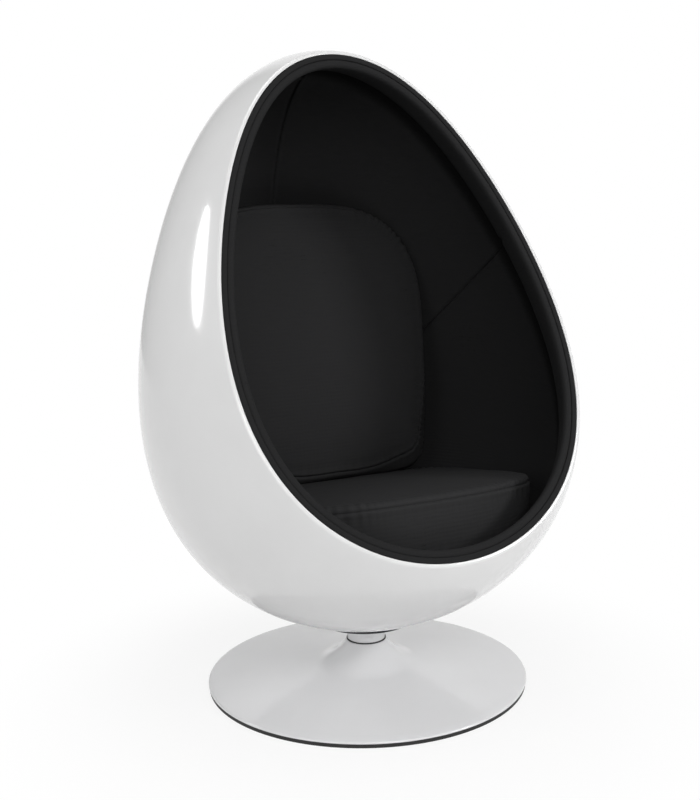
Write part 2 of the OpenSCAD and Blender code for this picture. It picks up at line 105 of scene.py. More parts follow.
# Base
BASE_D = 0.65
RING_H = 0.008
RIM_H = 0.012
RIM_ROUND = 0.0034
COVER_T = 0.003
CONE_ANGLE = radians(6.5)
FLARE_R = 0.09
NECK_D = 0.082
NECK_H = 0.083


# Shapes of the shell

OUTLINE_T = np.linspace(0, pi, 6001)


def egg_raw(t):
    u = -np.cos(t)
    a, b, c = EGG_SHARES
    return np.sin(t) * (1 + a * u + b * u ** 2 + c * u ** 3)


EGG_PEAK = egg_raw(OUTLINE_T).max()
OUTLINE_R = SHELL_D / 2 * egg_raw(OUTLINE_T) / EGG_PEAK
OUTLINE_Z = SHELL_L * (1 - np.cos(OUTLINE_T)) / 2
WAY_R = np.gradient(OUTLINE_R)
WAY_Z = np.gradient(OUTLINE_Z)
WAY_L = np.hypot(WAY_R, WAY_Z)
NORMAL_R = WAY_Z / WAY_L
NORMAL_Z = -WAY_R / WAY_L

LOW = (OUTLINE_Z * cos(SHELL_LEAN) - OUTLINE_R * sin(SHELL_LEAN)).argmin()
TIP_Y = LOW_BACK - OUTLINE_R[LOW] * cos(SHELL_LEAN) - OUTLINE_Z[LOW] * sin(SHELL_LEAN)
TIP_Z = SHELL_CLEAR + OUTLINE_R[LOW] * sin(SHELL_LEAN) - OUTLINE_Z[LOW] * cos(SHELL_LEAN)

OPENING_POINT = np.array([0, -OPENING_REACH, SHELL_L / 2])
OPENING_IN = np.array([0, cos(OPENING_ANGLE), -sin(OPENING_ANGLE)])
OPENING_UP = np.array([0, sin(OPENING_ANGLE), cos(OPENING_ANGLE)])
POLE = np.abs(NORMAL_Z + sin(OPENING_ANGLE)).argmin()
POLE_POINT = np.array([0, OUTLINE_R[POLE], OUTLINE_Z[POLE]])
DEEPEST = (POLE_POINT - OPENING_POINT) @ OPENING_IN
ACROSS = np.array([1.0, 0, 0])

LINING_OUT = SHELL_WALL + GLUE_GAP
LINING_IN = LINING_OUT + LINING_T
ROLL_IN = LINING_OUT + ROLL_T
ROLL_FOOT = LINING_OUT + WELT_T + GLUE_GAP
ROLL_TOP = ROLL_FOOT + ROLL_CROWN * (ROLL_IN - ROLL_FOOT)


def egg_outline(inset):
    """Heights and radii of the egg moved inward by a distance, lowest first."""
    z = OUTLINE_Z - NORMAL_Z * inset
    r = np.maximum(OUTLINE_R - NORMAL_R * inset, 0)
    return z, r


def inside_egg(p, inset):
    z, r = egg_outline(inset)
    return np.hypot(p[..., 0], p[..., 1]) < np.interp(p[..., 2], z, r, left=-1, right=-1)


def from_egg(p):
    """Points of the egg's own frame in the standing chair's frame."""
    y, z = p[..., 1], p[..., 2]
    c, s = cos(SHELL_LEAN), sin(SHELL_LEAN)
    return np.stack([p[..., 0], y * c + z * s + TIP_Y, z * c - y * s + TIP_Z], axis=-1)


def to_egg(p):
    y, z = p[..., 1] - TIP_Y, p[..., 2] - TIP_Z
    c, s = cos(SHELL_LEAN), sin(SHELL_LEAN)
    return np.stack([p[..., 0], y * c - z * s, y * s + z * c], axis=-1)


def reach(centre, way, test, far, turns=36):
    """How far each ray runs from the centre before its test fails."""
    near = np.zeros(way.shape[:-1])
    far = np.full(near.shape, far) if np.isscalar(far) else far.copy()
    for _ in range(turns):
        middle = (near + far) / 2
        held = test(centre + way * middle[..., None])
        near = np.where(held, middle, near)
        far = np.where(held, far, middle)
    return near


def opening_rings(section, steps):
    """One ring round the opening for each depth and inset from the shell, in the egg's frame."""
    a = np.linspace(0, 2 * pi, steps, endpoint=False)
    way = np.outer(np.cos(a), ACROSS) + np.outer(np.sin(a), OPENING_UP)
    rings = []
    for depth, inset in section:
        share = max(depth, 0) / DEEPEST
        centre = OPENING_POINT + OPENING_IN * depth * (1 - share)
        centre = centre + (POLE_POINT - OPENING_POINT) * share * share
        centre = centre + OPENING_IN * (depth - (centre - OPENING_POINT) @ OPENING_IN)
        rings.append(centre + way * reach(centre, way, lambda p: inside_egg(p, inset), SHELL_L)[:, None])
    return np.array(rings)


def deep_path(inset, start, count):
    """Depths from a start to just short of the deepest point, for rings that shrink evenly."""
    end = DEEPEST - inset
    share = np.linspace(0, 1, count, endpoint=False)
    return [(start + (end - start) * (1 - (1 - s) ** 2), inset) for s in share]


# Mesh helpers

def new_object(name, vertices, faces):
    mesh = bpy.data.meshes.new(name)
    mesh.from_pydata([tuple(v) for v in vertices], [], faces)
    mesh.validate()
    mesh.update()
    obj = bpy.data.objects.new(name, mesh)
    bpy.context.scene.collection.objects.link(obj)
    mesh.shade_smooth()
    return obj


def ring_faces(m, n, hoop):
    rows = m if hoop else m - 1
    faces = []
    for j in range(rows):
        k = (j + 1) % m
        for i in range(n):
            i2 = (i + 1) % n
            faces.append((j * n + i, j * n + i2, k * n + i2, k * n + i))
    return faces


def ring_mesh(name, rings, hoop=False):
    """Closed mesh through rings of points: a hoop joins last to first, or each end gets a pole."""
    m, n = rings.shape[:2]
    vertices = rings.reshape(-1, 3).tolist()
    faces = ring_faces(m, n, hoop)
    if not hoop:
        first, last = len(vertices), len(vertices) + 1
        vertices += [rings[0].mean(0).tolist(), rings[-1].mean(0).tolist()]
        faces += [(first, (i + 1) % n, i) for i in range(n)]
        faces += [(last, (m - 1) * n + i, (m - 1) * n + (i + 1) % n) for i in range(n)]
    obj = new_object(name, vertices, faces)
    face_outward(obj)
    return obj


def face_outward(obj):
    bm = bmesh.new()
    bm.from_mesh(obj.data)
    bmesh.ops.recalc_face_normals(bm, faces=bm.faces)
    if bm.calc_volume(signed=True) < 0:
        bmesh.ops.reverse_faces(bm, faces=bm.faces)
    bm.to_mesh(obj.data)
    bm.free()
    obj.data.update()


def coordinates(obj):
    co = np.empty(len(obj.data.vertices) * 3)
    obj.data.vertices.foreach_get("co", co)
    return co.reshape(-1, 3)


def set_coordinates(obj, co):
    obj.data.vertices.foreach_set("co", np.asarray(co, np.float32).ravel())
    obj.data.update()


def apply_modifiers(obj):
    graph = bpy.context.evaluated_depsgraph_get()
    mesh = bpy.data.meshes.new_from_object(obj.evaluated_get(graph), depsgraph=graph)
    old = obj.data
    obj.modifiers.clear()
    obj.data = mesh
    bpy.data.meshes.remove(old)
    mesh.shade_smooth()


def place(obj, body, material, node):
    """Gives a piece its finish, its body and the node that it replaces."""
    obj.data.materials.clear()
    obj.data.materials.append(material)
    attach(obj, body)
    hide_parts(node)


# Materials

def node_material(name):
    material = bpy.data.materials.new(name)
    material.use_nodes = True
    tree = material.node_tree
    return material, tree, tree.nodes["Principled BSDF"]


def add_node(tree, kind, inputs=None, **settings):
    node = tree.nodes.new(kind)
    for key, value in settings.items():
        setattr(node, key, value)
    for key, value in (inputs or {}).items():
        node.inputs[key].default_value = value
    return node


def object_position(tree):
    return add_node(tree, "ShaderNodeTexCoord").outputs["Object"]


def noise_field(tree, position, scale, detail=3.0, stretch=None):
    if stretch:
        mapping = add_node(tree, "ShaderNodeMapping")
        mapping.inputs["Scale"].default_value = stretch
        tree.links.new(position, mapping.inputs["Vector"])
        position = mapping.outputs["Vector"]
    field = add_node(tree, "ShaderNodeTexNoise", {"Scale": scale, "Detail": detail})
    tree.links.new(position, field.inputs["Vector"])
    return field.outputs["Fac"]


def ramp(tree, value, stops):
    node = add_node(tree, "ShaderNodeValToRGB")
    while len(node.color_ramp.elements) < len(stops):
        node.color_ramp.elements.new(0.5)
    for element, (position, colour) in zip(node.color_ramp.elements, stops):
        element.position = position
        element.color = (*colour, 1)
    tree.links.new(value, node.inputs["Fac"])
    return node.outputs["Color"]


def grey_range(tree, value, low, high):
    node = add_node(tree, "ShaderNodeMapRange", {"To Min": low, "To Max": high})
    tree.links.new(value, node.inputs["Value"])
    return node.outputs["Result"]


def add_bump(tree, shader, height, strength, distance):
    bump = add_node(tree, "ShaderNodeBump", {"Strength": strength, "Distance": distance})
    tree.links.new(height, bump.inputs["Height"])
    tree.links.new(bump.outputs["Normal"], shader.inputs["Normal"])


def summed(tree, a, b, weight):
    node = add_node(tree, "ShaderNodeMath", operation="MULTIPLY_ADD")
    node.inputs[1].default_value = weight
    tree.links.new(b, node.inputs[0])
    tree.links.new(a, node.inputs[2])
    return node.outputs[0]


def dot_with(tree, vector, way):
    node = add_node(tree, "ShaderNodeVectorMath", operation="DOT_PRODUCT")
    node.inputs[1].default_value = way
    tree.links.new(vector, node.inputs[0])
    return node.outputs["Value"]


def gloss_paint(name, low, high, roughness, coat):
    """Glossy white finish with a faint waviness and a little dust in its colour."""
    material, tree, shader = node_material(name)
    position = object_position(tree)
    colour = ramp(tree, noise_field(tree, position, 5.0), [(0.35, low), (0.65, high)])
    tree.links.new(colour, shader.inputs["Base Color"])
    rough = grey_range(tree, noise_field(tree, position, 40.0), roughness * 0.8, roughness * 1.25)
    tree.links.new(rough, shader.inputs["Roughness"])
    shader.inputs["Coat Weight"].default_value = coat
    shader.inputs["Coat Roughness"].default_value = 0.05
    add_bump(tree, shader, noise_field(tree, position, 14.0, 1.0), 0.12, 0.0006)
    return material


def woven_cloth(name, low, high, thread, crease=None):
    """Plain weave: uneven threads in thickness and colour, and painted shade in the crease behind the
    roll.
    """
    material, tree, shader = node_material(name)
    position = object_position(tree)
    waves = []
    for direction in ("Z", "X", "Y"):
        wave = add_node(tree, "ShaderNodeTexWave", {"Scale": 0.05 / thread, "Distortion": 1.6,
                        "Detail": 2.0, "Detail Scale": 2.0}, wave_type="BANDS",
                        bands_direction=direction)
        tree.links.new(position, wave.inputs["Vector"])
        waves.append(wave.outputs["Fac"])
    weave = summed(tree, summed(tree, waves[0], waves[1], 0.3), waves[2], 0.3)
    slub = noise_field(tree, position, 50.0, 3.0, (1, 1, 6))
    patch = noise_field(tree, position, 7.0)
    mixed = summed(tree, summed(tree, patch, slub, 0.9), weave, 0.22)
    colour = ramp(tree, mixed, [(0.55, low), (0.8, high)])
    # painted shade: the cloth's colour darkened in the crease behind the roll
    if crease:
        colour = painted_crease_shade(tree, position, colour, *crease)
    tree.links.new(colour, shader.inputs["Base Color"])
    shader.inputs["Roughness"].default_value = 0.9
    shader.inputs["Specular IOR Level"].default_value = 0.12
    add_bump(tree, shader, summed(tree, weave, slub, 1.2), 0.35, 0.0005)
    return material


# Painted shade in the crease behind the roll: the share of the cloth's colour that is left in that
# crease, and how far from it the lining and the roll start to brighten and are as bright as elsewhere
PAINTED_CREASE_LEAST = 0.1
LINING_PAINTED_SHADE = (0.021, 0.058)
ROLL_PAINTED_SHADE = (0.017, 0.04)


def painted_crease_shade(tree, position, colour, start, end):
    """Cloth's colour with painted shade near the depth behind the opening at which roll and lining meet.
    """
    inward = from_egg(OPENING_IN) - from_egg(np.zeros(3))
    depth = dot_with(tree, position, tuple(inward))
    crease_depth = from_egg(OPENING_POINT + OPENING_IN * ROLL_DEPTH) @ inward
    offset = add_node(tree, "ShaderNodeMath", {1: crease_depth}, operation="SUBTRACT")
    tree.links.new(depth, offset.inputs[0])
    away = add_node(tree, "ShaderNodeMath", operation="ABSOLUTE")
    tree.links.new(offset.outputs[0], away.inputs[0])
    level = add_node(tree, "ShaderNodeMapRange", {"From Min": start, "From Max": end,
                     "To Min": PAINTED_CREASE_LEAST, "To Max": 1.0}, interpolation_type="SMOOTHSTEP")
    tree.links.new(away.outputs[0], level.inputs["Value"])
    shaded = add_node(tree, "ShaderNodeVectorMath", operation="SCALE")
    tree.links.new(colour, shaded.inputs[0])
    tree.links.new(level.outputs["Result"], shaded.inputs["Scale"])
    return shaded.outputs["Vector"]


def worn_metal(name, low, high, roughness):
    """Turned or plated metal with fine streaks in its colour and polish."""
    material, tree, shader = node_material(name)
    position = object_position(tree)
    streaks = noise_field(tree, position, 60.0, 4.0, (1, 1, 40))
    tree.links.new(ramp(tree, streaks, [(0.3, low), (0.7, high)]), shader.inputs["Base Color"])
    rough = grey_range(tree, streaks, roughness * 0.7, roughness * 1.3)
    tree.links.new(rough, shader.inputs["Roughness"])
    shader.inputs["Metallic"].default_value = 1.0
    add_bump(tree, shader, streaks, 0.08, 0.0002)
    return material


def dull_solid(name, low, high, roughness, scale, bump, stretch=None):
    """Unpolished rubber, plastic, foam, wood or powder coat, by its colours and grain."""
    material, tree, shader = node_material(name)
    position = object_position(tree)
    grain = noise_field(tree, position, scale, 5.0, stretch)
    tree.links.new(ramp(tree, grain, [(0.3, low), (0.7, high)]), shader.inputs["Base Color"])
    shader.inputs["Roughness"].default_value = roughness
    add_bump(tree, shader, grain, bump, 0.0006)
    return material


SHELL_PAINT = gloss_paint("shell_gelcoat", (0.80, 0.80, 0.80), (0.83, 0.83, 0.83), 0.13, 0.5)
BASE_PAINT = gloss_paint("base_enamel", (0.84, 0.84, 0.85), (0.87, 0.87, 0.88), 0.16, 0.4)
LINING_CLOTH = woven_cloth("lining_cloth", (0.0128, 0.0128, 0.0133), (0.0218, 0.0218, 0.0225), 0.0011,
                           LINING_PAINTED_SHADE)
# the lining's fabric in a darker tone, set to the roll's tone in shade: painted shade on the roll and on
# the welt
RIM_CLOTH_PAINTED_SHADE = woven_cloth("rim_cloth", (0.0105, 0.0105, 0.0109), (0.0175, 0.0175, 0.018), 0.0011,
                        ROLL_PAINTED_SHADE)
CUSHION_CLOTH = woven_cloth("cushion_cloth", (0.0142, 0.0142, 0.0148), (0.0275, 0.0275, 0.0283), 0.0012)
RUBBER = dull_solid("ring_rubber", (0.006, 0.006, 0.006), (0.014, 0.014, 0.014), 0.62, 90.0, 0.2)
PLATE_COAT = dull_solid("plate_coat", (0.03, 0.03, 0.033), (0.06, 0.06, 0.065), 0.5, 160.0, 0.25)
STEEL = worn_metal("zinc_steel", (0.5, 0.51, 0.53), (0.68, 0.69, 0.71), 0.35)
BEARING = worn_metal("ground_steel", (0.62, 0.63, 0.65), (0.76, 0.77, 0.79), 0.12)
BRASS = worn_metal("cage_brass", (0.55, 0.38, 0.14), (0.74, 0.54, 0.24), 0.28)
NYLON = dull_solid("bush_nylon", (0.68, 0.67, 0.6), (0.78, 0.77, 0.71), 0.45, 40.0, 0.05)
WOOD = dull_solid("block_wood", (0.32, 0.2, 0.1), (0.56, 0.39, 0.22), 0.6, 30.0, 0.2, (1, 1, 9))
FOAM = dull_solid("base_foam", (0.02, 0.02, 0.022), (0.05, 0.05, 0.053), 0.95, 260.0, 0.6)

NODE_FINISHES = {
    "floor_ring": RUBBER, "seal_ring": RUBBER, "floor_plate": PLATE_COAT, "column": PLATE_COAT,
    "clamp_plate": STEEL, "column_bolts": STEEL, "hub_bolts": STEEL, "bolt_washers": STEEL,
    "thrust_washer": STEEL, "retaining_ring": STEEL, "spindle": STEEL, "lower_race": BEARING,
    "upper_race": BEARING, "bearing_balls": BEARING, "ball_cage": BRASS, "lower_bush": NYLON,
    "upper_bush": NYLON, "mounting_block": WOOD, "swivel_hub": BASE_PAINT,
}


def finish_nodes():
    for node, material in NODE_FINISHES.items():
        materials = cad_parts[node].data.materials
        materials.clear()
        materials.append(material)


# Shell

def make_shell():
    """One skin from the deepest point of the inner wall, round the opening's edge, to the outer one."""
    inner = deep_path(SHELL_WALL, 2 * EDGE_ROUND, 90)[::-1]
    outer = deep_path(0, 2 * EDGE_ROUND, 110)
    turns = np.linspace(0, pi / 2, 6)
    inner_edge = [(EDGE_ROUND * (1 - sin(a)), SHELL_WALL - EDGE_ROUND * (1 - cos(a))) for a in turns]
    outer_edge = [(EDGE_ROUND * (1 - cos(a)), EDGE_ROUND * (1 - sin(a))) for a in turns]
    rings = opening_rings(inner + inner_edge + outer_edge + outer, 360)
    shell = ring_mesh("shell_skin", from_egg(rings))
    place(shell, "pod", SHELL_PAINT, "shell")


# Lining and rim

def seam_side(p):
    """Distance past the curved seam, in the egg's frame: over 0 on the hood, under 0 on the sides."""
    return np.hypot(p[..., 1] + SEAM_REACH, p[..., 2] - SEAM_RISE) - SEAM_R


def cut_along(bm, field):
    """Splits a triangle mesh's edges and faces where the field changes sign."""
    found = field(np.array([v.co for v in bm.verts]))
    values = dict(zip(bm.verts, found.tolist()))
    cuts = []
    for edge in list(bm.edges):
        a, b = edge.verts
        fa, fb = values[a], values[b]
        if fa * fb < 0:
            _, vertex = bmesh.utils.edge_split(edge, a, fa / (fa - fb))
            cuts.append(vertex)
    bmesh.ops.connect_verts(bm, verts=cuts)
    bmesh.ops.triangulate(bm, faces=[f for f in bm.faces if len(f.verts) > 3])


def make_lining():
    """Three padded panels, pinched in along the seams that join them."""
    steps = (0, 0.0015, 0.004, 0.0075, 0.011, *np.arange(14, 45, 2.5) / 1000)
    front = [(ROLL_DEPTH + step, LINING_IN) for step in steps]
    rings = opening_rings(front + deep_path(LINING_IN, ROLL_DEPTH + 0.048, 106), 300)
    sheet = ring_sheet(rings)
    bmesh.ops.triangulate(sheet, faces=sheet.faces)
    for side in (-0.006, -0.003, -0.0012, 0, 0.0012, 0.003, 0.006):
        cut_along(sheet, lambda co: seam_side(co) - side)
    cut_along(sheet, lambda co: co[..., 0])
    cut_along(sheet, lambda co: floor_side(co) - FLOOR_GAP)
    panels = (
        ("lining_hood_pad", "lining_hood", seam_side),
        ("lining_right_pad", "lining_right", lambda p: np.minimum(-seam_side(p), p[..., 0])),
        ("lining_left_pad", "lining_left", lambda p: np.minimum(-seam_side(p), -p[..., 0])),
    )
    for name, node, field in panels:
        bm = sheet.copy()
        middles = np.array([f.calc_center_median() for f in bm.faces])
        kept = (field(middles) > 0) & (floor_side(middles) > FLOOR_GAP)
        gone = [f for f, keep in zip(bm.faces, kept) if not keep]
        bmesh.ops.delete(bm, geom=gone, context="FACES")
        panel = panel_object(name, bm, node)
        place(panel, "pod", LINING_CLOTH, node)
    sheet.free()


def ring_sheet(rings):
    m, n = rings.shape[:2]
    bm = bmesh.new()
    vertices = [bm.verts.new(p) for p in rings.reshape(-1, 3)]
    pole = bm.verts.new(rings[-1].mean(0))
    for face in ring_faces(m, n, False):
        bm.faces.new([vertices[i] for i in face])
    for i in range(n):
        bm.faces.new((vertices[(m - 1) * n + (i + 1) % n], pole, vertices[(m - 1) * n + i]))
    return bm


def bell(distance, size, width, power=2):
    """Bell-shaped curve: its size at no distance, and 0.37 of that at its width."""
    return size * np.exp(-(distance / width) ** power)


def seam_pinch(co, node):
    """How far a lining point is drawn towards the shell by the seams and edges near it."""
    near = np.abs(seam_side(co))
    along = co[:, 1] - co[:, 2] + np.sign(co[:, 0]) * 0.3
    pull = 1 + 0.35 * np.sin(along * 190) * np.sin(along * 61 + 1)
    seam = bell(near, *SEAM_GROOVE) + pull * bell(near, *PUCKERS)
    depth = (co - OPENING_POINT) @ OPENING_IN - ROLL_DEPTH
    tuck = bell(depth, *TUCK, power=4)
    floor = bell(floor_side(co), *LOWER_EDGE)
    if node != "lining_hood":
        seam = np.maximum(seam, bell(co[:, 0], *BACK_GROOVE))
    return np.minimum(seam + tuck + floor, LINING_T - 0.005)


def floor_side(co):
    """Height over the seat base's top, for points of the egg's frame."""
    p = from_egg(co)
    return (p[..., 2] - SEAT_BASE_H) * cos(SEAT_SLOPE) + p[..., 1] * sin(SEAT_SLOPE)


def panel_object(name, bm, node):
    loose = [v for v in bm.verts if not v.link_faces]
    bmesh.ops.delete(bm, geom=loose, context="VERTS")
    mesh = bpy.data.meshes.new(name)
    bm.to_mesh(mesh)
    bm.free()
    obj = bpy.data.objects.new(name, mesh)
    bpy.context.scene.collection.objects.link(obj)
    co = coordinates(obj)
    z, r = egg_outline(LINING_IN)
    normal = np.stack([co[:, 0], co[:, 1], 0 * co[:, 2]], axis=-1)
    normal /= np.maximum(np.linalg.norm(normal, axis=1), 1e-9)[:, None]
    slope = np.interp(co[:, 2], z, np.gradient(r) / np.gradient(z))
    normal[:, 2] = -slope
    normal /= np.linalg.norm(normal, axis=1)[:, None]
    front = co + normal * seam_pinch(co, node)[:, None]
    back = co + normal * (LINING_T - GLUE_GAP)
    set_coordinates(obj, from_egg(front))
    close_panel(obj, from_egg(back))
    obj.data.shade_smooth()
    return obj


def close_panel(obj, back):
    """Adds the glued side of a pad and walls along its open edges."""
    bm = bmesh.new()
    bm.from_mesh(obj.data)
    bm.verts.ensure_lookup_table()
    faces = list(bm.faces)
    edges = [e for e in bm.edges if e.is_boundary]
    behind = [bm.verts.new(p) for p in back]
    bm.verts.ensure_lookup_table()
    bm.verts.index_update()
    for face in faces:
        bm.faces.new([behind[v.index] for v in reversed(face.verts)])
    for edge in edges:
        loop = edge.link_loops[0]
        a, b = loop.vert.index, loop.link_loop_next.vert.index
        bm.faces.new((bm.verts[b], bm.verts[a], behind[a], behind[b]))
    bmesh.ops.recalc_face_normals(bm, faces=bm.faces)
    bm.to_mesh(obj.data)
    bm.free()


def make_roll():
    """Padded roll: from the welt over its crown into the crease, drawn in where the seam meets it."""
    shape = [(0.02, 0), (0.006, 0.08), (0.002, 0.2), (0.004, 0.33), (0.014, 0.46), (0.03, 0.57),
             (0.055, 0.685), (0.09, 0.79), (0.135, 0.885), (0.19, 0.97), (0.255, 1.045), (0.33, 1.11),
             (0.41, 1.16), (0.49, 1.19), (0.57, ROLL_CROWN), (0.64, 1.175), (0.71, 1.12), (0.77, 1.03),
             (0.825, 0.9), (0.87, 0.75), (0.91, 0.57), (0.945, 0.37), (0.97, 0.15), (0.99, -0.1)]
    face = [(d * ROLL_DEPTH, ROLL_FOOT + i * (ROLL_IN - ROLL_FOOT)) for d, i in shape]
    front = WELT_DEPTH + GLUE_GAP
    section = face + [(ROLL_DEPTH, LINING_OUT), (front, LINING_OUT), (front, ROLL_FOOT)]
    plain = opening_rings(section, 1000)
    drawn = opening_rings([(d, max(i - 0.006, LINING_OUT)) for d, i in section], 1000)
    depth = np.array([d for d, _ in section])[:, None]
    share = bell(seam_side(plain), 1, 0.0045) * np.clip((depth - 0.045) / 0.04, 0, 1)
    share[len(face):] = 0
    rings = plain + (drawn - plain) * share[..., None]
    roll = ring_mesh("rim_roll_pad", from_egg(rings), hoop=True)
    place(roll, "pod", RIM_CLOTH_PAINTED_SHADE, "rim_roll")


def make_welt():
    """Flat folded band between the shell's edge and the roll."""
    shape = [(0.25, 0.02), (0.1, 0.06), (0.02, 0.2), (0, 0.4), (0, 0.62), (0.03, 0.84), (0.12, 0.95),
             (0.3, 1), (1, 1), (1, 0)]
    section = [(d * WELT_DEPTH, LINING_OUT + i * WELT_T) for d, i in shape]
    rings = opening_rings(section, 420)
    welt = ring_mesh("rim_welt_band", from_egg(rings), hoop=True)
    place(welt, "pod", RIM_CLOTH_PAINTED_SHADE, "rim_welt")


# Cushions

SEAT_FRONT = np.array([0, -cos(SEAT_SLOPE), sin(SEAT_SLOPE)])
SEAT_UP = np.array([0, sin(SEAT_SLOPE), cos(SEAT_SLOPE)])
SEAT_TOP = CUSHION_GAP + SEAT_T + SEAT_CROWN
SEAT_CENTRE = np.array([0, 0, SEAT_BASE_H]) + SEAT_FRONT * SEAT_REACH + SEAT_UP * CUSHION_GAP
BACK_UP = np.array([0, sin(BACK_LEAN), cos(BACK_LEAN)])
BACK_FRONT = np.array([0, -cos(BACK_LEAN), sin(BACK_LEAN)])
BACK_FOOT_Z = SEAT_BASE_H + SEAT_TOP / cos(SEAT_SLOPE) - BACK_FOOT * tan(SEAT_SLOPE)
BACK_CENTRE = np.array([0, BACK_FOOT, BACK_FOOT_Z]) + BACK_UP * BACK_H / 2 - BACK_FRONT * BACK_T

# Rings of each cushion: share of its plan, of its thickness and of its crown, from its underside up.
# The seams are the numbers of the rings that are sewn.
SEAT_SHARES = [(0.3, 0, 0), (0.62, 0, 0), (0.84, 0.008, 0), (0.93, 0.04, 0), (0.965, 0.11, 0),
               (0.985, 0.28, 0), (0.995, 0.5, 0), (1, 0.75, 0), (1, 0.9, 0), (0.985, 0.985, 0),
               (0.955, 1, 0.22), (0.88, 1, 0.5), (0.74, 1, 0.75), (0.55, 1, 0.9), (0.3, 1, 0.98),
               (0.1, 1, 1)]
SEAT_SEAMS = (4, 8)
BACK_SHARES = [(0.35, -0.16, 0), (0.62, -0.12, 0), (0.82, -0.06, 0), (0.93, 0, 0), (0.965, 0.03, 0),
               (1, 0.2, 0), (1.008, 0.5, 0), (1.004, 0.8, 0), (0.985, 0.96, 0), (0.968, 0.985, 0.1),
               (0.955, 1, 0.2), (0.88, 1, 0.5), (0.74, 1, 0.76), (0.55, 1, 0.91), (0.3, 1, 0.98),
               (0.1, 1, 1)]
BACK_SEAMS = (4, 9)
# How square each plan is: at its far end, at its near end low down, and at its near end by the face
SEAT_POWERS = (4, 2.6, 2.7)
BACK_POWERS = (2.8, 8, 3.2)
# Width at the back's foot as a share of that at its top, and how far all sides are drawn in
BACK_FOOT_SHARE = 0.76
DRAW_SHARE = 0.012
# Lower corners: their turn from straight down and their width, in radians
EAR_TURN = 0.67
EAR_WIDTH = 0.13
# Room for the stuffing over a face, and how softly it ends there
TOP_SPARE = 0.012
TOP_SOFT = 0.006
# Sewn edges: the groove, the cloth that rises beside it at a distance, and the gathers at a distance
EDGE_GROOVE = (-0.0026, 0.0019)
EDGE_RISE = (0.001, 0.0035)
EDGE_RISE_AT = 0.006
GATHERS = (0.0023, 0.014)
GATHERS_AT = 0.009

# Cloth simulation: how much smaller the form starts, the size of its voxels, the pressure, how far
# nearly all of it may move and the frames that it runs
CLOTH_SMALLER = 0.003
CLOTH_VOXEL = 0.008
CLOTH_PRESSURE = 4.0
CLOTH_SPREAD = 0.008
CLOTH_FRAMES = 20


def is_clear(p, floor_h):
    """Is a point clear of the lining, the roll and whatever the cushion stands on."""
    q = to_egg(p)
    depth = (q - OPENING_POINT) @ OPENING_IN
    free = inside_egg(q, LINING_IN + CUSHION_GAP)
    free &= (depth > ROLL_DEPTH + CUSHION_GAP) | inside_egg(q, ROLL_TOP + CUSHION_GAP)
    return free & ((p - np.array([0, 0, SEAT_BASE_H])) @ SEAT_UP > floor_h)


def plan_reach(a, half_w, half_l, power):
    """Reach of a rounded rectangle whose sides are drawn in a little between its corners."""
    total = np.abs(np.cos(a) / half_w) ** power + np.abs(np.sin(a) / half_l) ** power
    return (1 - DRAW_SHARE * np.cos(2 * a) ** 2) * total ** (-1 / power)


def ears(a, size):
    """How far the two lower corners of a cover are drawn out."""
    corners = (1.5 * pi - EAR_TURN, 1.5 * pi + EAR_TURN)
    return size * sum(np.exp(-((a - corner) / EAR_WIDTH) ** 2) for corner in corners)


def cushion_rings(cushion, shares, steps, smaller=0.0):
    """Rings of a cushion from its underside to its crown, each cut short where its neighbours begin."""
    a = np.linspace(0, 2 * pi, steps, endpoint=False)
    way = np.outer(np.cos(a), ACROSS) + np.outer(np.sin(a), cushion["up"])
    wide = cushion["half_w"] * (1 - (1 - cushion["foot"]) * (1 - np.sin(a)) / 2)
    far, near, face = cushion["powers"]
    rings = []
    for share, h, c in shares:
        low = near + (face - near) * max(0, h) ** 2
        power = far + (low - far) * np.sqrt(np.maximum(0, -np.sin(a)))
        drawn_out = ears(a, cushion["ear"] * max(0, h) ** 2)
        plan = plan_reach(a, wide, cushion["half_l"], power) * (1 + drawn_out)
        middle = cushion["centre"] + cushion["out"] * (h * cushion["t"] + c * cushion["crown"])
        limit = reach(middle, way, lambda p: is_clear(p, cushion["floor"]), plan * 1.1)
        length = np.minimum(share * plan, min(1, share) * limit)
        rings.append(middle + way * np.maximum(length - smaller, length * 0.5)[:, None])
    return np.array(rings)


SEAT = {"centre": SEAT_CENTRE, "up": -SEAT_FRONT, "out": SEAT_UP, "half_w": SEAT_W / 2,
        "half_l": SEAT_DEPTH / 2, "powers": SEAT_POWERS, "t": SEAT_T, "crown": SEAT_CROWN,
        "floor": 0, "foot": 1, "ear": -0.012, "shares": SEAT_SHARES, "seams": SEAT_SEAMS,
        "top": SEAT_T + TOP_SPARE, "lowest": 0, "drawn": 0.6}
BACK = {"centre": BACK_CENTRE, "up": BACK_UP, "out": BACK_FRONT, "half_w": BACK_W / 2,
        "half_l": BACK_H / 2, "powers": BACK_POWERS, "t": BACK_T, "crown": BACK_CROWN,
        "floor": SEAT_TOP + CUSHION_GAP, "foot": BACK_FOOT_SHARE, "ear": 0.055,
        "shares": BACK_SHARES, "seams": BACK_SEAMS, "top": BACK_T + BACK_CROWN + TOP_SPARE,
        "lowest": -0.2 * BACK_T, "drawn": 0}


def path_lengths(cushion):
    """Lengths along the cover from each given ring to the next."""
    given = np.array(cushion["shares"])
    steps = np.diff(given, axis=0) * (cushion["half_w"], cushion["t"], cushion["crown"])
    return np.linalg.norm(steps, axis=1)


def refined_rows(cushion, parts=4):
    """Rows of the cover's rings: more between the given ones, and close ones beside each seam."""
    given = np.array(cushion["shares"])
    lengths = path_lengths(cushion)
    places = list(np.linspace(0, len(given) - 1, (len(given) - 1) * parts + 1))
    for seam in cushion["seams"]:
        for gap in (0.0011, 0.0022, 0.0036, 0.0055, 0.008):
            places += [seam - gap / lengths[seam - 1], seam + gap / lengths[seam]]
    places = np.array(sorted(places))
    keep = np.append(np.diff(places) > 0.004, True)
    row = np.arange(len(given))
    return [tuple(np.interp(x, row, given[:, k]) for k in range(3)) for x in places[keep]]


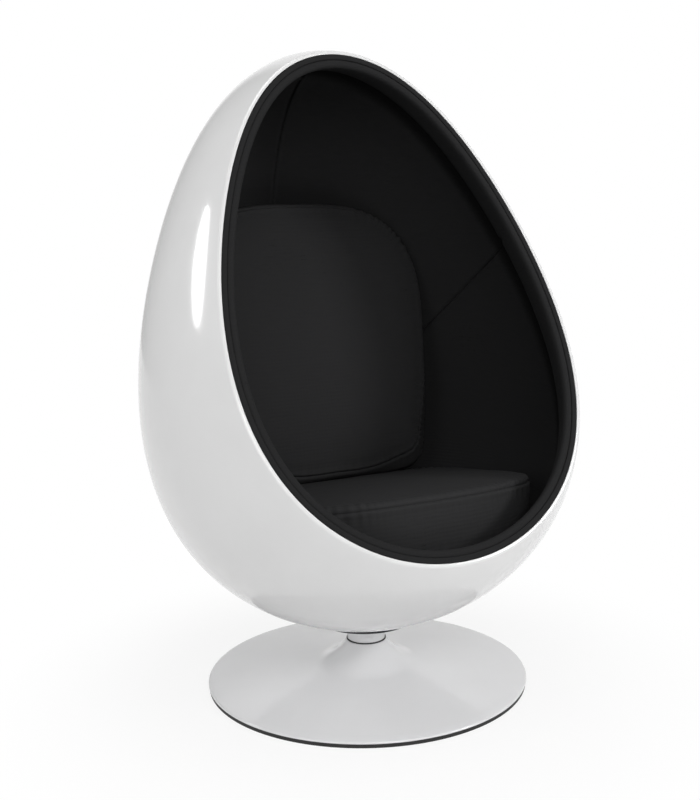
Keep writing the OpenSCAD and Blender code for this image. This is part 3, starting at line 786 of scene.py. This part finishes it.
def stuffing(cushion):
    """How a slightly smaller cover swells when blown up: points of a coarse form and their moves."""
    form = ring_mesh("form", cushion_rings(cushion, cushion["shares"], 120, CLOTH_SMALLER))
    remesh = form.modifiers.new("remesh", "REMESH")
    remesh.mode = "VOXEL"
    remesh.voxel_size = CLOTH_VOXEL
    apply_modifiers(form)
    start = coordinates(form)
    normals = vertex_normals(form)
    cloth = form.modifiers.new("cloth", "CLOTH")
    cloth.settings.quality = 5
    cloth.settings.use_pressure = True
    cloth.settings.uniform_pressure_force = CLOTH_PRESSURE
    cloth.settings.effector_weights.gravity = 0
    cloth.point_cache.frame_start = 1
    cloth.point_cache.frame_end = CLOTH_FRAMES
    for count in range(1, CLOTH_FRAMES + 1):
        bpy.context.scene.frame_set(count)
    graph = bpy.context.evaluated_depsgraph_get()
    moved = coordinates(form.evaluated_get(graph)) - start
    form.modifiers.clear()
    bpy.context.scene.frame_set(1)
    bpy.data.objects.remove(form)
    inward = np.minimum((moved * normals).sum(1), 0)
    moved -= normals * (inward * (1 - cushion["drawn"]))[:, None]
    length = np.linalg.norm(moved, axis=1)
    return start, moved * min(1, CLOTH_SPREAD / np.percentile(length, 97))


def swell(co, start, moved):
    """Points of a fine cover, moved as the coarse form near them was."""
    tree = KDTree(len(start))
    for i, p in enumerate(start):
        tree.insert(p, i)
    tree.balance()
    found = [tree.find_n(p, 14) for p in co]
    number = np.array([[f[1] for f in near] for near in found])
    weight = 1 / (np.array([[f[2] for f in near] for near in found]) + 0.006) ** 2
    weight /= weight.sum(1, keepdims=True)
    return co + (moved[number] * weight[:, :, None]).sum(1)


def soft_least(a, b, margin):
    """The lesser of two heights, rounded over where they meet."""
    return b - margin * np.log1p(np.exp(np.clip((b - a) / margin, -50, 50)))


def settle(co, cushion):
    """Keeps a stuffed cushion off its neighbours, on what carries it and under its top."""
    height = soft_least((co - cushion["centre"]) @ cushion["out"], cushion["top"], TOP_SOFT)
    height = np.maximum(height, cushion["lowest"])
    axis = cushion["centre"] + cushion["out"] * height[:, None]
    flat = co - cushion["centre"]
    flat = flat - cushion["out"] * (flat @ cushion["out"])[:, None]
    length = np.maximum(np.linalg.norm(flat, axis=1), 1e-9)
    way = flat / length[:, None]
    limit = reach(axis, way, lambda p: is_clear(p, cushion["floor"]), length * 1.02 + 0.001)
    return axis + way * np.minimum(length, limit)[:, None]


def vertex_normals(obj):
    normals = np.empty(len(obj.data.vertices) * 3, np.float32)
    obj.data.vertices.foreach_get("normal", normals)
    return normals.reshape(-1, 3).astype(float)


def nearest(points, lines):
    """Distance from each point to the nearest of the line's points, with that point's number."""
    tree = KDTree(len(lines))
    for i, p in enumerate(lines):
        tree.insert(p, i)
    tree.balance()
    found = [tree.find(p) for p in points]
    return np.array([f[2] for f in found]), np.array([f[1] for f in found])


def sew(obj, cushion, seams, pitch=0.016):
    """Draws the cover in along its seams, with gathers that grow towards the corners."""
    co = coordinates(obj)
    distance, number = nearest(co, seams.reshape(-1, 3))
    step = np.linalg.norm(np.diff(seams, axis=1, prepend=seams[:, -1:]), axis=2)
    along = np.cumsum(step, axis=1).ravel()[number]
    flat = co - cushion["centre"]
    turn = np.arctan2(flat @ cushion["up"] / cushion["half_l"], flat[:, 0] / cushion["half_w"])
    corner = 0.15 + np.sin(2 * turn) ** 6
    groove = bell(distance, *EDGE_GROOVE)
    rise = bell(distance - EDGE_RISE_AT, *EDGE_RISE)
    wave = np.sin(along * 2 * pi / pitch + 2.6 * np.sin(along * 2 * pi / 0.13))
    wave *= 0.4 + 0.6 * np.sin(along * 2 * pi / 0.21 + 1.3) ** 2
    gather = corner * wave * bell(distance - GATHERS_AT, *GATHERS)
    set_coordinates(obj, co + vertex_normals(obj) * (groove + rise + gather)[:, None])


def make_cushion(name, cushion, node):
    """Stuffed cushion: its cover swells as the blown-up form does, settles in place, then is sewn."""
    rings = cushion_rings(cushion, refined_rows(cushion), 560)
    seams = cushion_rings(cushion, [cushion["shares"][k] for k in cushion["seams"]], 2400)
    start, moved = stuffing(cushion)
    rings, seams = (settle(swell(p.reshape(-1, 3), start, moved), cushion).reshape(p.shape)
                    for p in (rings, seams))
    obj = ring_mesh(name, rings)
    sew(obj, cushion, seams)
    place(obj, "pod", CUSHION_CLOTH, node)


def make_seat_base():
    """Moulded foam that fills the bowl under the seat, with a pocket for the mounting."""
    steps = 240
    a = np.linspace(0, 2 * pi, steps, endpoint=False)
    way = np.stack([np.cos(a), np.sin(a), 0 * a], axis=-1)

    def free(p):
        q = to_egg(p)
        depth = (q - OPENING_POINT) @ OPENING_IN
        return inside_egg(q, LINING_OUT) & (depth > ROLL_DEPTH + GLUE_GAP)

    slope = np.stack([way[:, 0], way[:, 1], -way[:, 1] * tan(SEAT_SLOPE)], axis=-1)
    crest = np.array([0, 0, SEAT_BASE_H])
    edge = reach(crest, slope, free, 0.5)
    crown = ((0.1, 0), (0.4, 0), (0.7, 0), (0.9, 0), (0.965, 0.0003), (0.985, 0.0014))
    rings = [crest + slope * (edge * share)[:, None] - np.array([0, 0, drop])
             for share, drop in crown]
    top = SEAT_BASE_H - way[:, 1] * edge * tan(SEAT_SLOPE) - 0.005
    low = np.full(steps, FOAM_LOW)
    for share in np.linspace(0, 1, 26):
        z = top + (low - top) * share
        centre = np.stack([0 * a, 0 * a, z], axis=-1)
        rings.append(centre + way * np.maximum(reach(centre, way, free, 0.5), POCKET_D / 2)[:, None])
    pocket_r = POCKET_D / 2 - 0.0005
    for z, r in ((FOAM_LOW, pocket_r), (POCKET_TOP, pocket_r), (POCKET_TOP, 0.01)):
        rings.append(np.stack([way[:, 0] * r, way[:, 1] * r, 0 * a + z], axis=-1))
    base = ring_mesh("seat_base_foam", np.array(rings))
    place(base, "pod", FOAM, "seat_base")


# Base

def trumpet(t):
    """Outline of the trumpet from the disc's edge up to the neck, moved inward by t."""
    slope = tan(CONE_ANGLE)
    edge_r = BASE_D / 2 - RIM_ROUND
    neck_r = NECK_D / 2
    drop = RIM_H + edge_r * slope + FLARE_R / cos(CONE_ANGLE) - NECK_H
    half = neck_r + drop * slope
    x = half + (half ** 2 - (1 + slope ** 2) * (neck_r ** 2 + drop ** 2 - FLARE_R ** 2)) ** 0.5
    x /= 1 + slope ** 2
    z = NECK_H + drop - slope * x
    start = np.arctan2(NECK_H - z, neck_r - x) % (2 * pi)
    edge = np.linspace(0, pi / 2 - CONE_ANGLE, 7)
    flare = np.linspace(1.5 * pi - CONE_ANGLE, start, 40)
    rim_r = RIM_ROUND - t
    rim = [(edge_r + rim_r * cos(a), RIM_H - RIM_ROUND + rim_r * sin(a)) for a in edge]
    horn = [(x + (FLARE_R + t) * cos(a), z + (FLARE_R + t) * sin(a)) for a in flare]
    disc = list(zip(np.linspace(rim[-1][0], horn[0][0], 14)[1:-1],
                    np.linspace(rim[-1][1], horn[0][1], 14)[1:-1]))
    return rim + disc + horn


def revolved(name, outline, steps=360):
    a = np.linspace(0, 2 * pi, steps, endpoint=False)
    rings = np.array([[(r * cos(b), r * sin(b), z) for b in a] for r, z in outline])
    return ring_mesh(name, rings, hoop=True)


def make_base_cover():
    outer, inner = trumpet(0), trumpet(COVER_T)
    outline = [(BASE_D / 2, RING_H)] + outer + inner[::-1] + [(BASE_D / 2 - COVER_T, RING_H)]
    cover = revolved("base_cover_skin", outline)
    place(cover, "base", BASE_PAINT, "base_cover")


# Studio

# Level directions to the backdrop's middle and to its left
BACKDROP_WAY = (0.461, 0.887, 0)
BACKDROP_LEFT = (-0.887, 0.461, 0)
# Grey of the studio in reflections, by the degrees from the backdrop's middle to the left
STUDIO_GREYS = ((-180, 0.85), (-90, 0.85), (-30, 0.9), (-8, 1), (12, 1), (16, 0.85), (22, 0.5),
                (36, 0.6), (60, 0.85), (95, 1), (140, 1), (180, 0.85))
# Name, place, target, width, height and power of each lamp, then shape and turn of the ellipse
LAMPS = (
    ("side_softbox", (-2.139, 1.317, 1.892), (-0.299, -0.083, 0.922), 1.18, 0.42, 9.5, "ELLIPSE", -46),
    ("key", (1.81, -2.23, 1.5), (0, 0, 0.7), 0.65, 0.65, 28),
    ("overhead", (0, -0.5, 4.6), (0, -0.1, 0.4), 1.5, 1.5, 28),
    ("left_fill", (-3.0, -1.9, 1.5), (0, 0, 0.7), 1.8, 1.8, 22),
    ("front_left", (-0.6, -2.65, 1.97), (0, 0, 0.7), 1.0, 1.0, 20),
)
AMBIENT = 0.27
# Floor: half its size, its grey, where its own white starts and is full, and that white's least share
FLOOR_HALF = 12.0
FLOOR_GREY = (0.84, 0.84, 0.84, 1)
FLOOR_FADE = (0.3, 0.8, 0.86)
# Share of the floor's own white that shows in gloss
GLOSSY_SHARE = 0.85


def make_camera():
    camera = bpy.data.objects.new("camera", bpy.data.cameras.new("camera"))
    bpy.context.scene.collection.objects.link(camera)
    forward = CAMERA_FORWARD.normalized()
    right = forward.cross(Vector((0, 0, 1))).normalized()
    up = right.cross(forward)
    c, s = cos(CAMERA_ROLL), sin(CAMERA_ROLL)
    right, up = right * c + up * s, up * c - right * s
    turn = Matrix((right, up, -forward)).transposed()
    camera.matrix_world = Matrix.Translation(CAMERA_POSITION) @ turn.to_4x4()
    camera.data.sensor_width = 36
    camera.data.lens = CAMERA_LENS
    camera.data.clip_end = 50
    bpy.context.scene.camera = camera


def soft_lamp(name, location, target, width, height, power, shape="RECTANGLE", turn=0):
    data = bpy.data.lights.new(name, "AREA")
    data.shape = shape
    data.size, data.size_y, data.energy = width, height, power
    lamp = bpy.data.objects.new(name, data)
    bpy.context.scene.collection.objects.link(lamp)
    lamp.location = location
    lamp.rotation_mode = "QUATERNION"
    facing = (Vector(target) - Vector(location)).to_track_quat("-Z", "Y")
    lamp.rotation_quaternion = facing @ Quaternion((0, 0, 1), radians(turn))


def make_floor():
    """Pale floor: its own white takes over from the lit surface away from the chair's shadow."""
    corners = [(x * FLOOR_HALF, y * FLOOR_HALF, 0) for x, y in ((-1, -1), (1, -1), (1, 1), (-1, 1))]
    floor = new_object("floor", corners, [(0, 1, 2, 3)])
    material, tree, shader = node_material("floor_white")
    shader.inputs["Base Color"].default_value = FLOOR_GREY
    shader.inputs["Roughness"].default_value = 0.9
    distance = add_node(tree, "ShaderNodeVectorMath", operation="LENGTH")
    tree.links.new(object_position(tree), distance.inputs[0])
    near, far, least = FLOOR_FADE
    fade = add_node(tree, "ShaderNodeMapRange", {"From Min": near, "From Max": far, "To Min": least,
                    "To Max": 1.0}, interpolation_type="SMOOTHSTEP")
    tree.links.new(distance.outputs["Value"], fade.inputs["Value"])
    glow = add_node(tree, "ShaderNodeEmission", {"Color": (1, 1, 1, 1), "Strength": 1.0})
    share = add_node(tree, "ShaderNodeMath", operation="MULTIPLY")
    tree.links.new(white_rays(tree), share.inputs[0])
    tree.links.new(fade.outputs["Result"], share.inputs[1])
    mix = add_node(tree, "ShaderNodeMixShader")
    tree.links.new(share.outputs[0], mix.inputs["Fac"])
    tree.links.new(shader.outputs[0], mix.inputs[1])
    tree.links.new(glow.outputs[0], mix.inputs[2])
    tree.links.new(mix.outputs[0], tree.nodes["Material Output"].inputs["Surface"])
    floor.data.materials.append(material)


def white_rays(tree):
    """How much of the background's white a ray sees: all from the camera or through glass."""
    path = add_node(tree, "ShaderNodeLightPath")
    total = path.outputs["Is Camera Ray"]
    for kind, share in (("Is Glossy Ray", GLOSSY_SHARE), ("Is Transmission Ray", 1)):
        join = add_node(tree, "ShaderNodeMath", operation="MAXIMUM")
        tree.links.new(total, join.inputs[0])
        tree.links.new(grey_range(tree, path.outputs[kind], 0, share), join.inputs[1])
        total = join.outputs[0]
    return total


def make_world():
    """Studio: white to the camera, soft light, and in gloss a grey side beside the white backdrop."""
    world = bpy.data.worlds.new("studio")
    bpy.context.scene.world = world
    world.use_nodes = True
    tree = world.node_tree
    way = add_node(tree, "ShaderNodeTexCoord").outputs["Generated"]
    forward = dot_with(tree, way, BACKDROP_WAY)
    left = dot_with(tree, way, BACKDROP_LEFT)
    angle = add_node(tree, "ShaderNodeMath", operation="ARCTAN2")
    tree.links.new(left, angle.inputs[0])
    tree.links.new(forward, angle.inputs[1])
    turn = add_node(tree, "ShaderNodeMapRange", {"From Min": -pi, "From Max": pi})
    tree.links.new(angle.outputs[0], turn.inputs["Value"])
    stops = [((a + 180) / 360, (grey,) * 3) for a, grey in STUDIO_GREYS]
    around = ramp(tree, turn.outputs["Result"], stops)
    path = add_node(tree, "ShaderNodeLightPath")
    seen = add_node(tree, "ShaderNodeBackground", {"Color": (1, 1, 1, 1), "Strength": 1.0})
    gloss = add_node(tree, "ShaderNodeBackground", {"Strength": 1.0})
    tree.links.new(around, gloss.inputs["Color"])
    lit = tree.nodes["Background"]
    lit.inputs["Color"].default_value = (1, 1, 1, 1)
    lit.inputs["Strength"].default_value = AMBIENT
    shader = lit.outputs[0]
    backgrounds = (("Is Transmission Ray", seen), ("Is Glossy Ray", gloss), ("Is Camera Ray", seen))
    for kind, other in backgrounds:
        mix = add_node(tree, "ShaderNodeMixShader")
        tree.links.new(path.outputs[kind], mix.inputs["Fac"])
        tree.links.new(shader, mix.inputs[1])
        tree.links.new(other.outputs[0], mix.inputs[2])
        shader = mix.outputs[0]
    tree.links.new(shader, tree.nodes["World Output"].inputs["Surface"])


def make_lights():
    for lamp in LAMPS:
        soft_lamp(*lamp)


make_camera()
make_world()
make_floor()
make_lights()
finish_nodes()
make_shell()
make_lining()
make_roll()
make_welt()
make_seat_base()
make_cushion("seat_cushion_cover", SEAT, "seat_cushion")
make_cushion("back_cushion_cover", BACK, "back_cushion")
make_base_cover()

bpy.context.scene.view_settings.view_transform = "Standard"
